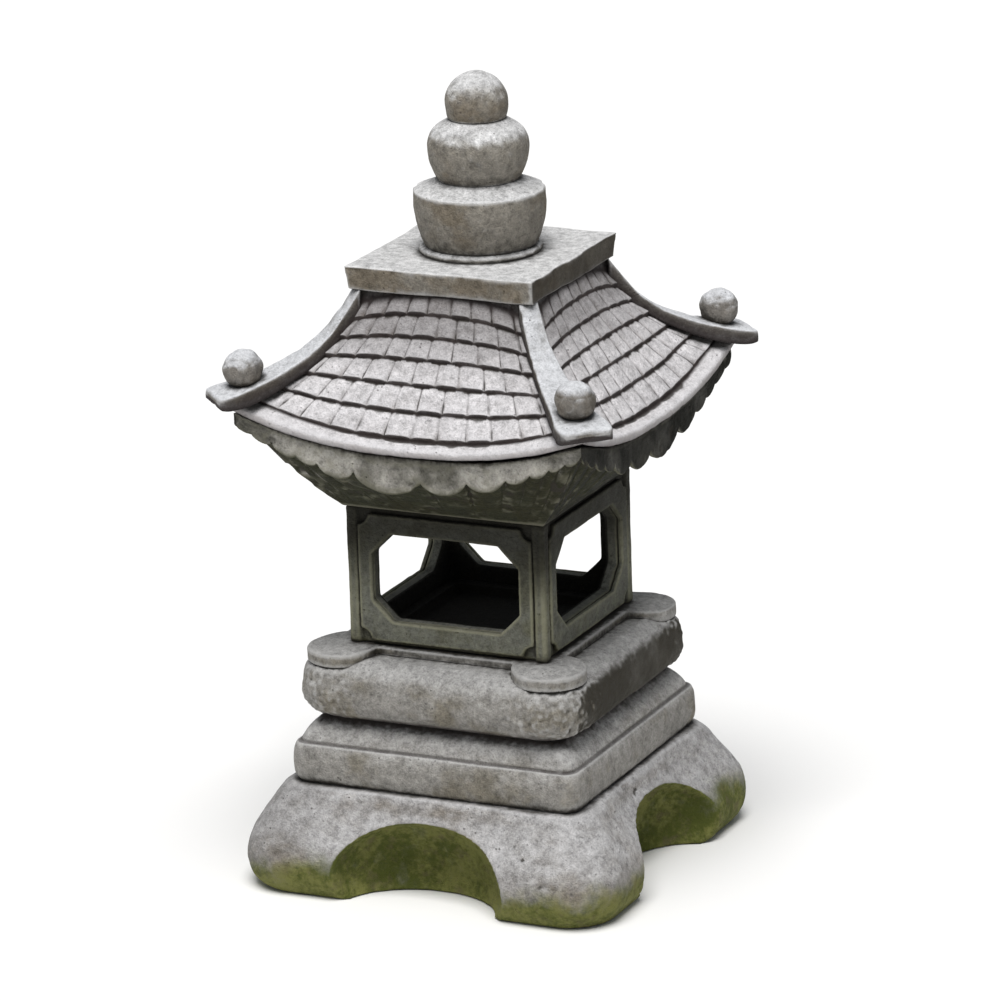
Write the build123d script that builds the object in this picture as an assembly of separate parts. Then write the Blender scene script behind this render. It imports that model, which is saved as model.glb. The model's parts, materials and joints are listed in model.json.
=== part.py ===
from build123d import *
import math

# Stone garden lantern, built as stacked stones with locating rims and steel pins.
# Units are millimetres, +Z is up, and the origin is the centre of the footprint on the ground.

# Base stone with four rounded feet and a blind arched niche in each side
BASE_TOP = 63.0
BASE_STATIONS = [
    (0.0, 113.5, 27.0), (4.0, 118.0, 29.0), (12.0, 121.3, 30.0), (22.0, 121.8, 30.0), (33.0, 119.0, 29.0),
    (43.0, 113.5, 27.0), (53.0, 106.5, 24.0), (BASE_TOP, 98.0, 18.0),
]
NICHE_HALF_WIDTH = 54.0
NICHE_TOP = 50.0
NICHE_WAIST = 16.0
NICHE_DEPTH = 44.0
NICHE_CENTRE = 122.0

# Plinth: swelling lower course, incised line, then a hollowed neck
PLINTH_LINE = 88.6
PLINTH_TOP = 103.0
PLINTH_LOWER = [
    (BASE_TOP, 90.5, 9.0), (66.0, 93.3, 10.0), (73.0, 94.7, 11.0), (81.0, 94.3, 10.0), (PLINTH_LINE, 92.0, 9.0),
]
PLINTH_UPPER = [(PLINTH_LINE, 90.4, 9.0), (93.0, 88.3, 9.0), (98.0, 84.4, 9.0), (PLINTH_TOP, 78.5, 9.0)]

# Platform cushion
PLATFORM_TOP = 141.0
PLATFORM_STATIONS = [
    (PLINTH_TOP, 80.0, 18.0), (106.5, 87.5, 22.0), (112.0, 92.0, 25.0), (122.0, 93.5, 27.0),
    (131.0, 92.0, 26.0), (137.0, 87.5, 24.0), (PLATFORM_TOP, 79.0, 20.0),
]

# Seat plate with a round lobe at each corner and an upstand that locates the fire box
SEAT_TOP = 145.7
SEAT_HALF = 68.5
LOBE_RADIUS = 22.5
LOBE_CENTRE = 67.0
UPSTAND_TOP = 151.7
UPSTAND_OUTER = 52.6
UPSTAND_INNER = 45.0

# Fire box: recessed walls, corner posts, one window in each side
BOX_TOP = 231.0
WALL_FACE = 62.2
WALL_INNER = 53.7
POST_OUTER = 64.7
POST_WIDTH = 7.2
WINDOW_HALF = 48.0
WINDOW_SILL = 161.0
WINDOW_HEAD = 215.5
WINDOW_CORNER = 13.0
SURROUND_HALF = 56.8
SURROUND_BOTTOM = 148.5
SURROUND_TOP = 227.5
SURROUND_FACE = 65.4
SURROUND_NOTCH = 7.0

# Eave stone: sloping soffit with a scalloped valance, hollow in the middle
SOFFIT_INNER = 44.0
JOINT_LEVEL = 262.0
JOINT_HALF = 90.0
JOINT_GAP = 0.3
VALANCE_FACE = 109.5
VALANCE_CORNER_FACE = 112.5
VALANCE_BOTTOM = 259.0
VALANCE_CORNER_BOTTOM = 285.0
SCALLOPS = 8
SCALLOP_DEPTH = 4.0
STATIONS_PER_SCALLOP = 5
LOCATOR_OUTER = 52.4
LOCATOR_BOTTOM = 222.5

# Tiled roof stone: six courses between the neck and the eave band
NECK_HALF = 56.0
ROOF_TOP = 365.0
CAVITY_TOP = 345.0
COURSE_EDGES = [57.0, 62.4, 69.0, 76.8, 85.6, 95.2, 105.0]
COURSE_MID_Z = [364.0, 354.5, 342.5, 331.0, 318.0, 304.5, 291.0]
COURSE_HIP_Z = [353.0, 345.0, 335.5, 327.0, 319.5, 313.0, 307.5]
COURSE_STEP = 2.6
TILES_ACROSS = 10
TILE_CROWN = 1.5
BAND_INNER = 105.4
BAND_OUTER = 114.0
BAND_MID_Z = 285.0
BAND_HIP_Z = 304.0
BAND_THICK = 4.5
UPSWEEP_POWER = 2.4
STATIONS_PER_TILE = 4

# Hip ridges, stated by distance from the axis measured along one side
RIDGE_STATIONS = [
    (55.5, 12.0, 359.5), (62.0, 12.5, 350.5), (69.0, 14.5, 340.0), (78.0, 17.0, 330.5), (88.0, 20.0, 323.5),
    (97.0, 23.0, 318.5), (106.0, 27.5, 315.0), (113.0, 32.0, 312.8), (118.5, 33.0, 311.6), (121.0, 28.0, 310.4),
]
RIDGE_BED = [345.0, 339.0, 330.0, 321.0, 314.0, 308.0, 304.0, 302.5, 302.5, 303.5]
RIDGE_CORNER = 3.4

# Ridge balls
BALL_OFFSET = 107.0
BALL_RADIUS = 11.6
BALL_CENTRE_Z = 323.3
BALL_SEAT_Z = 313.5
BALL_GAP = 0.3

# Cap slab and finial stack
SLAB_TOP = 377.8
SLAB_HALF = 62.0
RING_TOP = 382.0
RING_RADIUS = 36.5
DRUM_TOP = 421.5
BULB_TOP = 457.8
FINIAL_BALL_RADIUS = 19.3
FINIAL_BALL_CENTRE = 466.8

# Steel pins
ROD_RADIUS = 4.0
ROD_BOTTOM = 352.0
ROD_TOP = 470.0
ROD_HOLE_GAP = 1.0
BED_PIN_RADIUS = 4.0
BED_PIN_OFFSET = 50.0
BED_PIN_BOTTOM = 53.0
BED_PIN_TOP = 114.0
BALL_PIN_RADIUS = 2.0
BALL_PIN_BOTTOM = 307.5
BALL_PIN_TOP = 320.5
PIN_GAP = 0.15


def square_face(half, radius, level):
    """Horizontal square with rounded corners."""
    return Plane.XY.offset(level) * RectangleRounded(2 * half, 2 * half, radius)


def square_stack(stations):
    """Smooth stone turned through rounded squares given as (height, half side, corner radius)."""
    return loft([square_face(half, radius, level) for level, half, radius in stations])


def block(half, bottom, top):
    """Plain square block centred on the axis."""
    return Pos(0, 0, bottom) * Box(2 * half, 2 * half, top - bottom, align=(Align.CENTER, Align.CENTER, Align.MIN))


def rod(x, y, radius, bottom, top):
    """Upright round bar."""
    return Pos(x, y, bottom) * Cylinder(radius, top - bottom, align=(Align.CENTER, Align.CENTER, Align.MIN))


def corner_points(offset):
    return [(-offset, -offset), (offset, -offset), (offset, offset), (-offset, offset)]


def turned(profile):
    """Solid of revolution about the axis from (radius, height) points joined by a smooth side."""
    bottom_r, bottom_z = profile[0]
    top_r, top_z = profile[-1]
    with BuildPart() as stone:
        with BuildSketch(Plane.XZ):
            with BuildLine():
                Line((0, bottom_z), (bottom_r, bottom_z))
                Spline(*profile)
                Line((top_r, top_z), (0, top_z))
                Line((0, top_z), (0, bottom_z))
            make_face()
        revolve(axis=Axis.Z)
    return stone.part


def bed_pin_holes():
    radius = BED_PIN_RADIUS + PIN_GAP
    holes = Part()
    for x, y in corner_points(BED_PIN_OFFSET):
        holes += rod(x, y, radius, BED_PIN_BOTTOM, BED_PIN_TOP)
    return holes


def make_base_stone():
    """Spreading foot with a scooped, arched niche in each side, widest a little above the ground."""
    stone = square_stack(BASE_STATIONS)
    scoop = scale(Sphere(1.0), by=(NICHE_HALF_WIDTH, NICHE_DEPTH, NICHE_TOP - NICHE_WAIST))
    niche = Pos(0, -NICHE_CENTRE, NICHE_WAIST) * scoop
    for quarter in range(4):
        stone -= Rot(0, 0, 90 * quarter) * niche
    return stone - bed_pin_holes()


def make_plinth():
    return square_stack(PLINTH_LOWER) + square_stack(PLINTH_UPPER) - bed_pin_holes()


def make_platform():
    return square_stack(PLATFORM_STATIONS) - bed_pin_holes()


def make_seat_plate():
    """Thin plate with corner lobes and a square upstand."""
    plate = block(SEAT_HALF, PLATFORM_TOP, SEAT_TOP)
    for x, y in corner_points(LOBE_CENTRE):
        plate += rod(x, y, LOBE_RADIUS, PLATFORM_TOP, SEAT_TOP)
    rim = block(UPSTAND_OUTER, SEAT_TOP, UPSTAND_TOP) - block(UPSTAND_INNER, SEAT_TOP, UPSTAND_TOP)
    return plate + rim


def window_outline(half_width, bottom, top, corner):
    """Upright rectangle with cut corners, drawn in the XZ plane."""
    return Polyline(
        (-half_width + corner, bottom), (half_width - corner, bottom), (half_width, bottom + corner),
        (half_width, top - corner), (half_width - corner, top), (-half_width + corner, top),
        (-half_width, top - corner), (-half_width, bottom + corner), close=True,
    )


def window_prism(depth_start, depth_end):
    face = make_face(window_outline(WINDOW_HALF, WINDOW_SILL, WINDOW_HEAD, WINDOW_CORNER))
    return extrude(Plane.XZ.offset(depth_start) * face, depth_end - depth_start)


def make_fire_box():
    """Square chamber with corner posts and four windows."""
    stone = block(WALL_FACE, SEAT_TOP, BOX_TOP)
    post_centre = POST_OUTER - POST_WIDTH / 2
    for x, y in corner_points(post_centre):
        post = Pos(x, y, SEAT_TOP) * Box(
            POST_WIDTH, POST_WIDTH, BOX_TOP - SEAT_TOP, align=(Align.CENTER, Align.CENTER, Align.MIN)
        )
        stone += post
    stone -= block(WALL_INNER, SEAT_TOP, BOX_TOP)
    opening = window_prism(WALL_INNER - 5, WALL_FACE + 5)
    for quarter in range(4):
        stone -= Rot(0, 0, 90 * quarter) * opening
    return stone


def make_window_surround():
    """Raised frame round one window, with a small hollow notch at each outer corner."""
    depth = SURROUND_FACE - WALL_FACE
    height = SURROUND_TOP - SURROUND_BOTTOM
    middle = (SURROUND_TOP + SURROUND_BOTTOM) / 2
    outline = Pos(0, middle) * Rectangle(2 * SURROUND_HALF, height)
    for x in (-SURROUND_HALF, SURROUND_HALF):
        for z in (SURROUND_BOTTOM, SURROUND_TOP):
            outline -= Pos(x, z) * Circle(SURROUND_NOTCH)
    frame = extrude(Plane.XZ.offset(WALL_FACE) * outline, depth)
    return frame - window_prism(WALL_FACE - 1, SURROUND_FACE + 1)


def surface_height(mid, hip, across):
    """Height at a fraction across one roof side, sweeping up towards the hips."""
    return mid + (hip - mid) * abs(across) ** UPSWEEP_POWER


def tile_crown(across):
    """Rounded tile backs with narrow valleys between them."""
    return TILE_CROWN * (2 * abs(math.sin(math.pi * TILES_ACROSS * (across + 1) / 2)) - 1)


def roof_profile(across):
    """Cross-section of the tiled stone as (distance from axis, height) points."""
    points = [(SOFFIT_INNER, ROOF_TOP), (NECK_HALF, ROOF_TOP)]
    crown = tile_crown(across)
    for row in range(len(COURSE_EDGES) - 1):
        upper = surface_height(COURSE_MID_Z[row], COURSE_HIP_Z[row], across)
        lower = surface_height(COURSE_MID_Z[row + 1], COURSE_HIP_Z[row + 1], across)
        step = 0.0 if row == 0 else COURSE_STEP
        points.append((COURSE_EDGES[row] + 0.2, upper - step + crown))
        points.append((COURSE_EDGES[row + 1], lower + crown))
    band = surface_height(BAND_MID_Z, BAND_HIP_Z, across)
    points.append((BAND_INNER, band + 1.2))
    points.append((BAND_OUTER, band))
    points.append((BAND_OUTER, band - BAND_THICK))
    points.append((VALANCE_FACE, band - BAND_THICK))
    points.append((JOINT_HALF, JOINT_LEVEL))
    points.append((SOFFIT_INNER, JOINT_LEVEL))
    return points


def eave_profile(across):
    """Cross-section of the soffit and valance as (distance from axis, height) points."""
    band = surface_height(BAND_MID_Z, BAND_HIP_Z, across)
    face = surface_height(VALANCE_FACE, VALANCE_CORNER_FACE, across)
    edge = surface_height(VALANCE_BOTTOM, VALANCE_CORNER_BOTTOM, across)
    scallop = SCALLOP_DEPTH * abs(math.sin(math.pi * SCALLOPS * (across + 1) / 2))
    top = band - BAND_THICK - JOINT_GAP
    return [
        (SOFFIT_INNER, JOINT_LEVEL), (JOINT_HALF, JOINT_LEVEL), (face, top - 0.4), (face, edge - scallop),
        (face - 4.0, edge + 1.0), (POST_OUTER, BOX_TOP), (SOFFIT_INNER, BOX_TOP),
    ]


def side_sector(profile, stations):
    """One quarter of a square stone, lofted through fanned upright sections."""
    sections = []
    for index in range(stations + 1):
        across = -1 + 2 * index / stations
        points = [(across * distance, -distance, level) for distance, level in profile(across)]
        sections.append(Face(Wire.make_polygon(points, close=True)))
    return Solid.make_loft([face.outer_wire() for face in sections], ruled=False)


def four_sides(profile, stations):
    sector = side_sector(profile, stations)
    whole = Part() + sector
    for quarter in range(1, 4):
        whole += Rot(0, 0, 90 * quarter) * sector
    return whole


def make_eave_stone():
    """Soffit and valance with a square rim that drops inside the fire box."""
    stone = four_sides(eave_profile, SCALLOPS * STATIONS_PER_SCALLOP)
    rim = block(LOCATOR_OUTER, LOCATOR_BOTTOM, BOX_TOP) - block(SOFFIT_INNER, LOCATOR_BOTTOM, BOX_TOP)
    return stone + rim


def ridge_solid():
    """One hip ridge lying along the +X +Y diagonal."""
    sections = []
    for (side, width, top), bed in zip(RIDGE_STATIONS, RIDGE_BED):
        along = side * math.sqrt(2)
        half = width / 2
        corner = min(RIDGE_CORNER, half * 0.5)
        outline = [
            (-half, bed), (half, bed), (half, top - corner - 1.0), (half - corner * 0.35, top - corner * 0.4 - 0.8),
            (half - corner, top - 0.6), (0, top), (-half + corner, top - 0.6),
            (-half + corner * 0.35, top - corner * 0.4 - 0.8), (-half, top - corner - 1.0),
        ]
        sections.append(Wire.make_polygon([(along, offset, level) for offset, level in outline], close=True))
    return Rot(0, 0, 45) * Solid.make_loft(sections, ruled=True)


def make_hip_ridge(ridge):
    """Ridge with a shallow cup and a pin hole for its ball."""
    cup = Pos(BALL_OFFSET, BALL_OFFSET, BALL_CENTRE_Z) * Sphere(BALL_RADIUS + BALL_GAP)
    cup -= block(200, BALL_SEAT_Z - 40, BALL_SEAT_Z)
    hole = rod(BALL_OFFSET, BALL_OFFSET, BALL_PIN_RADIUS + PIN_GAP, BALL_PIN_BOTTOM, BALL_CENTRE_Z)
    return ridge - cup - hole


def make_ridge_ball():
    ball = Pos(BALL_OFFSET, BALL_OFFSET, BALL_CENTRE_Z) * Sphere(BALL_RADIUS)
    ball -= block(200, BALL_SEAT_Z - 40, BALL_SEAT_Z)
    return ball - rod(BALL_OFFSET, BALL_OFFSET, BALL_PIN_RADIUS + PIN_GAP, BALL_SEAT_Z - 5, BALL_PIN_TOP)


def rod_hole():
    return rod(0, 0, ROD_RADIUS + ROD_HOLE_GAP, ROD_BOTTOM - 2, SLAB_TOP + 1)


def make_roof_stone(ridges):
    """Tiled roof with a hollow underside, a neck and beds for the hip ridges."""
    stone = four_sides(roof_profile, TILES_ACROSS * STATIONS_PER_TILE)
    stone += block(NECK_HALF - 2, CAVITY_TOP, ROOF_TOP)
    for ridge in ridges:
        stone -= ridge
    return stone - rod_hole()


def make_cap_slab():
    slab = loft([
        Plane.XY.offset(ROOF_TOP) * Rectangle(2 * SLAB_HALF - 2, 2 * SLAB_HALF - 2),
        Plane.XY.offset(SLAB_TOP) * Rectangle(2 * SLAB_HALF, 2 * SLAB_HALF),
    ])
    slab = fillet(slab.edges(), 1.2)
    return slab - rod_hole()


def finial_hole():
    return rod(0, 0, ROD_RADIUS + PIN_GAP, SLAB_TOP - 1, ROD_TOP)


def make_cap_ring():
    ring = rod(0, 0, RING_RADIUS, SLAB_TOP, RING_TOP)
    ring = fillet(ring.edges().group_by(Axis.Z)[-1], 1.5)
    return ring - finial_hole()


def make_finial_drum():
    profile = [
        (33.5, RING_TOP), (36.2, 389.0), (38.8, 400.0), (39.3, 406.0), (38.5, 413.0), (34.0, 416.8),
        (25.5, DRUM_TOP),
    ]
    return turned(profile) - finial_hole()


def make_finial_bulb():
    profile = [
        (24.5, DRUM_TOP), (27.8, 428.0), (30.1, 436.0), (30.3, 443.0), (28.0, 450.0), (23.0, 454.6),
        (17.2, BULB_TOP),
    ]
    return turned(profile) - finial_hole()


def make_finial_ball():
    ball = Pos(0, 0, FINIAL_BALL_CENTRE) * Sphere(FINIAL_BALL_RADIUS)
    ball -= block(60, BULB_TOP - 60, BULB_TOP)
    return ball - finial_hole()


def pin_set(offset, radius, bottom, top):
    """Four like pins, one in each corner."""
    return Compound(children=[rod(x, y, radius, bottom, top) for x, y in corner_points(offset)])


def save(solid, name):
    solid.label = name
    export_step(solid, "parts/" + name + ".step")


def main():
    save(make_base_stone(), "base_stone")
    save(make_plinth(), "plinth_stone")
    save(make_platform(), "platform_stone")
    save(make_seat_plate(), "seat_plate")
    save(make_fire_box(), "fire_box")
    surround = make_window_surround()
    for quarter, side in enumerate(("front", "right", "back", "left")):
        save(Rot(0, 0, 90 * quarter) * surround, "window_surround_" + side)
    save(make_eave_stone(), "eave_stone")
    ridge = ridge_solid()
    ridges = [Rot(0, 0, 90 * quarter) * ridge for quarter in range(4)]
    save(make_roof_stone(ridges), "roof_stone")
    finished = make_hip_ridge(ridge)
    ball = make_ridge_ball()
    for quarter, corner in enumerate(("back_right", "back_left", "front_left", "front_right")):
        save(Rot(0, 0, 90 * quarter) * finished, "hip_ridge_" + corner)
        save(Rot(0, 0, 90 * quarter) * ball, "ridge_ball_" + corner)
    save(make_cap_slab(), "cap_slab")
    save(make_cap_ring(), "cap_ring")
    save(make_finial_drum(), "finial_drum")
    save(make_finial_bulb(), "finial_bulb")
    save(make_finial_ball(), "finial_ball")
    save(rod(0, 0, ROD_RADIUS, ROD_BOTTOM, ROD_TOP), "finial_rod")
    save(pin_set(BED_PIN_OFFSET, BED_PIN_RADIUS, BED_PIN_BOTTOM, BED_PIN_TOP), "bed_pins")
    save(pin_set(BALL_OFFSET, BALL_PIN_RADIUS, BALL_PIN_BOTTOM, BALL_PIN_TOP), "ball_pins")


main()
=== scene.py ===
import json
import math

import bpy
import numpy as np
from mathutils import Matrix, Vector
from mathutils.bvhtree import BVHTree


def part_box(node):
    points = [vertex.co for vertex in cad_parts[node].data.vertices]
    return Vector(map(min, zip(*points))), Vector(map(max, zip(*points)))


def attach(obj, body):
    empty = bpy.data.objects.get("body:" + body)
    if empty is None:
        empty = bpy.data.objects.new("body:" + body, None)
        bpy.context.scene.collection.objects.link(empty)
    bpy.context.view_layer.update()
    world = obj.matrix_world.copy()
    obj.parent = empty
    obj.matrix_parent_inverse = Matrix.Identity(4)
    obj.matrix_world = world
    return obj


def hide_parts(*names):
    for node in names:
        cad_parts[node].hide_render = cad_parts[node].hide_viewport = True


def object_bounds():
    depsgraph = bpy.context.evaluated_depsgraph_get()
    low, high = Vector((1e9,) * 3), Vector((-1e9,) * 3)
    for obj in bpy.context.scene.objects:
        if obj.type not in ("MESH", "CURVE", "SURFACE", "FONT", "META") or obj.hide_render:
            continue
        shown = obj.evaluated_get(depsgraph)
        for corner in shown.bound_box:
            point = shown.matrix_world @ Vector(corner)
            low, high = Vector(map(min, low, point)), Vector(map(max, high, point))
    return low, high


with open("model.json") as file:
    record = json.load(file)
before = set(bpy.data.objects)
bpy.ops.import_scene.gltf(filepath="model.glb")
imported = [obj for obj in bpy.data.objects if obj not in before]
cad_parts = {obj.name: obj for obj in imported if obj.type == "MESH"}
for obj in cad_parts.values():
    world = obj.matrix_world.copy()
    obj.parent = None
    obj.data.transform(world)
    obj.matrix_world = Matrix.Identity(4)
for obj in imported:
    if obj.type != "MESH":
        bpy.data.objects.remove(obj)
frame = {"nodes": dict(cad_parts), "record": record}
cad_bounds = [list(corner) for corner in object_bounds()]
NODES = frame["nodes"]
MM = 0.001
LOW = Vector(cad_bounds[0])


# ---------------------------------------------------------------- camera and light

CAMERA_DISTANCE = 3.9
CAMERA_AZIMUTH = math.radians(25.14)
CAMERA_ELEVATION = math.radians(17.0)
CAMERA_ROLL = math.radians(1.8)
CAMERA_LENS = 233.8
AIM_HEIGHT = 0.2214
AIM_SIDE = 0.0068


def make_camera():
    azimuth, elevation = CAMERA_AZIMUTH, CAMERA_ELEVATION
    back = Vector((math.sin(azimuth) * math.cos(elevation), -math.cos(azimuth) * math.cos(elevation), math.sin(elevation)))
    right = Vector((math.cos(azimuth), math.sin(azimuth), 0.0))
    up = back.cross(right)
    rolled_right = right * math.cos(CAMERA_ROLL) - up * math.sin(CAMERA_ROLL)
    rolled_up = right * math.sin(CAMERA_ROLL) + up * math.cos(CAMERA_ROLL)
    target = right * AIM_SIDE + Vector((0.0, 0.0, AIM_HEIGHT))
    data = bpy.data.cameras.new("camera")
    data.lens = CAMERA_LENS
    data.sensor_width = 36.0
    data.clip_end = 50.0
    camera = bpy.data.objects.new("camera", data)
    bpy.context.scene.collection.objects.link(camera)
    turn = Matrix((rolled_right, rolled_up, back)).transposed().to_4x4()
    turn.translation = target + back * CAMERA_DISTANCE
    camera.matrix_world = turn
    bpy.context.scene.camera = camera


make_camera()


SUN_POWER = 3.45
SUN_SOFTNESS = math.radians(38.0)
SUN_TRAVEL = Vector((-0.09, 0.31, -0.94))
SKY_COLOUR = (0.92, 0.96, 1.0, 1.0)
SKY_STRENGTH = 0.27


def make_light():
    """One broad, soft light from above and in front, under a pale sky."""
    data = bpy.data.lights.new("soft_light", "SUN")
    data.energy = SUN_POWER
    data.angle = SUN_SOFTNESS
    data.color = (1.0, 0.985, 0.965)
    light = bpy.data.objects.new("soft_light", data)
    light.rotation_euler = SUN_TRAVEL.to_track_quat("-Z", "Y").to_euler()
    bpy.context.scene.collection.objects.link(light)
    world = bpy.data.worlds.new("studio")
    world.use_nodes = True
    background = world.node_tree.nodes["Background"]
    background.inputs["Color"].default_value = SKY_COLOUR
    background.inputs["Strength"].default_value = SKY_STRENGTH
    bpy.context.scene.world = world
    bpy.context.scene.view_settings.view_transform = "Standard"


make_light()


# ---------------------------------------------------------------- noise in mesh code

def lattice(ix, iy, iz, seed):
    """Repeatable value from -1 to 1 for whole-number lattice points."""
    h = (ix * 73856093) ^ (iy * 19349663) ^ (iz * 83492791) ^ (seed * 2654435761)
    h = h & 0xFFFFFFFF
    h = ((h ^ (h >> 15)) * 2246822519) & 0xFFFFFFFF
    h = ((h ^ (h >> 13)) * 3266489917) & 0xFFFFFFFF
    h = h ^ (h >> 16)
    return h.astype(np.float64) / 2147483647.5 - 1.0


def noise(points, size, seed):
    """Smooth noise of about -1 to 1 with features of the given size."""
    scaled = points / size
    base = np.floor(scaled).astype(np.int64)
    frac = scaled - base
    ease = frac * frac * (3.0 - 2.0 * frac)
    total = np.zeros(len(points))
    for dx in (0, 1):
        wx = ease[:, 0] if dx else 1.0 - ease[:, 0]
        for dy in (0, 1):
            wy = ease[:, 1] if dy else 1.0 - ease[:, 1]
            for dz in (0, 1):
                wz = ease[:, 2] if dz else 1.0 - ease[:, 2]
                total += wx * wy * wz * lattice(base[:, 0] + dx, base[:, 1] + dy, base[:, 2] + dz, seed)
    return total


def layered(points, size, layers, seed):
    """Noise with finer layers of half the strength."""
    total = np.zeros(len(points))
    strength = 1.0
    for layer in range(layers):
        total += strength * noise(points, size / 2 ** layer, seed + 17 * layer)
        strength *= 0.5
    return total / 1.6


def cells(points, size, seed):
    """Distance to the nearest scattered point, in cell sizes."""
    scaled = points / size
    base = np.floor(scaled).astype(np.int64)
    nearest = np.full(len(points), 9.0)
    for dx in (-1, 0, 1):
        for dy in (-1, 0, 1):
            for dz in (-1, 0, 1):
                cx, cy, cz = base[:, 0] + dx, base[:, 1] + dy, base[:, 2] + dz
                px = cx + 0.5 + 0.45 * lattice(cx, cy, cz, seed)
                py = cy + 0.5 + 0.45 * lattice(cx, cy, cz, seed + 1)
                pz = cz + 0.5 + 0.45 * lattice(cx, cy, cz, seed + 2)
                gap = (scaled[:, 0] - px) ** 2 + (scaled[:, 1] - py) ** 2 + (scaled[:, 2] - pz) ** 2
                nearest = np.minimum(nearest, gap)
    return np.sqrt(nearest)


def ramp(value, low, high):
    """0 below low, 1 above high, smooth between."""
    share = np.clip((value - low) / (high - low), 0.0, 1.0)
    return share * share * (3.0 - 2.0 * share)


# ---------------------------------------------------------------- mesh helpers

def new_object(name, vertices, *face_sets):
    """A mesh from points and one or more arrays of faces, each array with its own number of corners."""
    mesh = bpy.data.meshes.new(name)
    mesh.vertices.add(len(vertices))
    mesh.vertices.foreach_set("co", np.asarray(vertices, np.float32).ravel())
    sizes = np.concatenate([np.full(len(faces), faces.shape[1], np.int32) for faces in face_sets])
    mesh.loops.add(int(sizes.sum()))
    mesh.loops.foreach_set("vertex_index", np.concatenate([faces.ravel() for faces in face_sets]).astype(np.int32))
    mesh.polygons.add(len(sizes))
    mesh.polygons.foreach_set("loop_start", (np.cumsum(sizes) - sizes).astype(np.int32))
    mesh.update(calc_edges=True)
    mesh.validate()
    piece = bpy.data.objects.new(name, mesh)
    bpy.context.scene.collection.objects.link(piece)
    return piece


def coordinates(piece):
    flat = np.zeros(len(piece.data.vertices) * 3, np.float32)
    piece.data.vertices.foreach_get("co", flat)
    return flat.reshape(-1, 3).astype(np.float64)


def normals(piece):
    flat = np.zeros(len(piece.data.vertices) * 3, np.float32)
    piece.data.vertices.foreach_get("normal", flat)
    return flat.reshape(-1, 3).astype(np.float64)


def set_coordinates(piece, points):
    piece.data.vertices.foreach_set("co", points.astype(np.float32).ravel())
    piece.data.update()


def apply_modifiers(piece):
    bpy.context.view_layer.update()
    graph = bpy.context.evaluated_depsgraph_get()
    finished = bpy.data.meshes.new_from_object(piece.evaluated_get(graph))
    old = piece.data
    piece.modifiers.clear()
    piece.data = finished
    bpy.data.meshes.remove(old)


def stone_from_cad(node, voxel, smoothing):
    """Copy of a CAD stone, rebuilt as an even mesh with softened arrises."""
    piece = bpy.data.objects.new(node + "_worn", NODES[node].data.copy())
    piece.data.materials.clear()
    bpy.context.scene.collection.objects.link(piece)
    remesh = piece.modifiers.new("even", "REMESH")
    remesh.mode = "VOXEL"
    remesh.voxel_size = voxel * MM
    remesh.adaptivity = 0.0
    if smoothing:
        soften = piece.modifiers.new("soften", "SMOOTH")
        soften.factor = 0.5
        soften.iterations = smoothing
    apply_modifiers(piece)
    return piece


def keep_in_box(piece, node):
    low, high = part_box(node)
    set_coordinates(piece, np.clip(coordinates(piece), np.array(low), np.array(high)))


RELIEF_PASSES = 10


def relief(piece):
    """Stores how hollow or how proud each point is: the material darkens hollows with dirt and painted shade and
    lightens proud edges with wear and a painted highlight.
    """
    points = coordinates(piece)
    smooth = np.stack([spread(piece, points[:, axis], RELIEF_PASSES) for axis in range(3)], axis=1)
    hollow = ((smooth - points) * normals(piece)).sum(axis=1) / MM
    store(piece, "hollow", np.clip(hollow, -2.0, 2.0))


def raise_value(piece, name, values):
    """Raises a stored value where the new one is larger."""
    layer = piece.data.attributes[name]
    old = np.zeros(len(values), np.float32)
    layer.data.foreach_get("value", old)
    layer.data.foreach_set("value", np.maximum(old, values).astype(np.float32))


def store(piece, name, values):
    layer = piece.data.attributes.new(name, "FLOAT", "POINT")
    layer.data.foreach_set("value", values.astype(np.float32))


def push(piece, amounts):
    """Moves points along their normals by amounts in millimetres."""
    set_coordinates(piece, coordinates(piece) + normals(piece) * (amounts * MM)[:, None])


OPEN_REACH = 0.040
OPEN_LIFT = 0.0006
OPEN_RAYS = 7


def openness_for_painted_shade():
    """Stores on every new piece how open each point is to its surroundings; the material paints shade in sheltered
    places from it.
    """
    corners, triangles, start = [], [], 0
    for piece in BUILT:
        points = coordinates(piece)
        mesh = piece.data
        mesh.calc_loop_triangles()
        flat = np.zeros(len(mesh.loop_triangles) * 3, np.int32)
        mesh.loop_triangles.foreach_get("vertices", flat)
        corners.append(points)
        triangles.append(flat.reshape(-1, 3) + start)
        start += len(points)
    tree = BVHTree.FromPolygons(np.concatenate(corners).tolist(), np.concatenate(triangles).tolist())
    for piece in BUILT:
        points = coordinates(piece)
        outward = normals(piece)
        order = np.arange(len(points))
        helper = np.where(np.abs(outward[:, 2:3]) < 0.9, np.array([[0.0, 0.0, 1.0]]), np.array([[1.0, 0.0, 0.0]]))
        side = np.cross(outward, helper)
        side /= np.maximum(np.linalg.norm(side, axis=1, keepdims=True), 1e-9)
        other = np.cross(outward, side)
        begin = points + outward * OPEN_LIFT
        total = np.zeros(len(points))
        for ray in range(OPEN_RAYS):
            turn = 2.0 * math.pi * (ray / OPEN_RAYS + 0.5 * lattice(order, order * 7, order * 3, 900 + ray))
            sine = math.sqrt((ray + 0.5) / OPEN_RAYS)
            cosine = math.sqrt(1.0 - sine * sine)
            heading = side * (np.cos(turn) * sine)[:, None] + other * (np.sin(turn) * sine)[:, None] + outward * cosine
            for place, (origin, direction) in enumerate(zip(begin.tolist(), heading.tolist())):
                gap = tree.ray_cast(origin, direction, OPEN_REACH)[3]
                total[place] += 1.0 if gap is None else gap / OPEN_REACH
        store(piece, "open", spread(piece, total / OPEN_RAYS, 3))


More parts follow.
